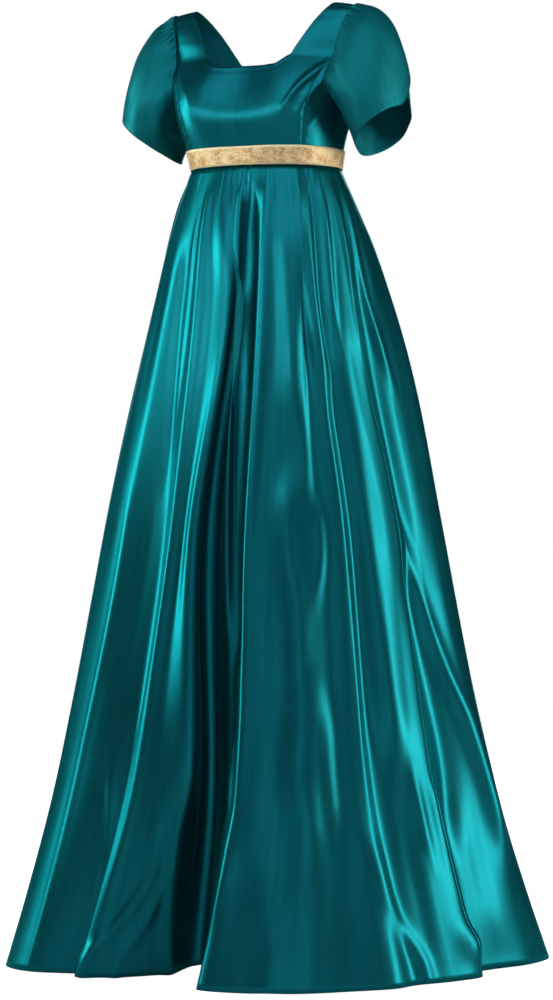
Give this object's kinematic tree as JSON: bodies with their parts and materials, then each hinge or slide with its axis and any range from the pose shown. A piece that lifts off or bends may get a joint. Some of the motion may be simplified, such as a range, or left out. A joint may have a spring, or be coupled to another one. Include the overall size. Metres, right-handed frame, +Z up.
{
  "type": "empire-waist gown",
  "caption": "Floor-length high-waisted satin gown with short petal puff sleeves, a wide scooped neck and a gold ribbon under the bust.",
  "frame": {"origin": "middle of the line between the two shoulder seams, where the wearer's shoulders hold the gown up", "axes": "+Z up, -Y the gown's front, +X the wearer's left"},
  "size_m": [0.7893, 0.735, 1.4648],
  "materials": {
    "satin": "teal satin, sheen along the folds",
    "ribbon": "gold metallic brocade ribbon with paler woven edges"
  },
  "bodies": {
    "root": {"bodice_front": "satin", "bodice_side_left": "satin", "bodice_side_right": "satin", "bodice_back_left": "satin", "bodice_back_right": "satin", "ribbon": "ribbon", "sleeve_front_left": "satin", "sleeve_front_right": "satin", "sleeve_back_left": "satin", "sleeve_back_right": "satin", "skirt_front": "satin", "skirt_back_left": "satin", "skirt_back_right": "satin"}
  },
  "joints": []
}
